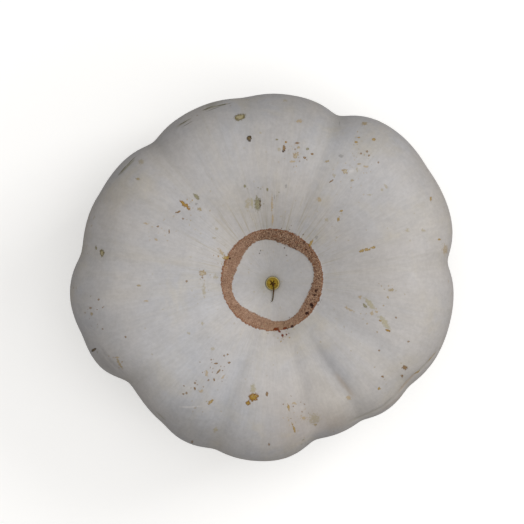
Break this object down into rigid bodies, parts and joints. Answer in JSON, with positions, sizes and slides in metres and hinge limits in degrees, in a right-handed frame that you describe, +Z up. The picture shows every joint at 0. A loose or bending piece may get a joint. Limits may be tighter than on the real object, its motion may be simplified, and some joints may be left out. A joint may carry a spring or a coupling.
{
  "type": "boer pumpkin",
  "caption": "Broad flat white ribbed pumpkin, set down on its stalk end, with a corky scar ring and the dried style at its blossom end.",
  "frame": {"origin": "on the ground, under the middle of the fruit's box", "axes": "+Z up along the fruit's axis towards the blossom end, +X along its longest width"},
  "size_m": [0.3054, 0.2924, 0.1599],
  "materials": {
    "skin": "satin greyish white rind with fine radial streaks, and a brown corky ring at the blossom end",
    "stalk_cork": "dry corky stalk, fissured along its length, with a sawn-looking cut",
    "dried_flower": "dried olive brown button with a dark star and a thread"
  },
  "bodies": {
    "root": {"fruit": "skin", "stalk": "stalk_cork", "style_remnant": "dried_flower"}
  },
  "joints": []
}
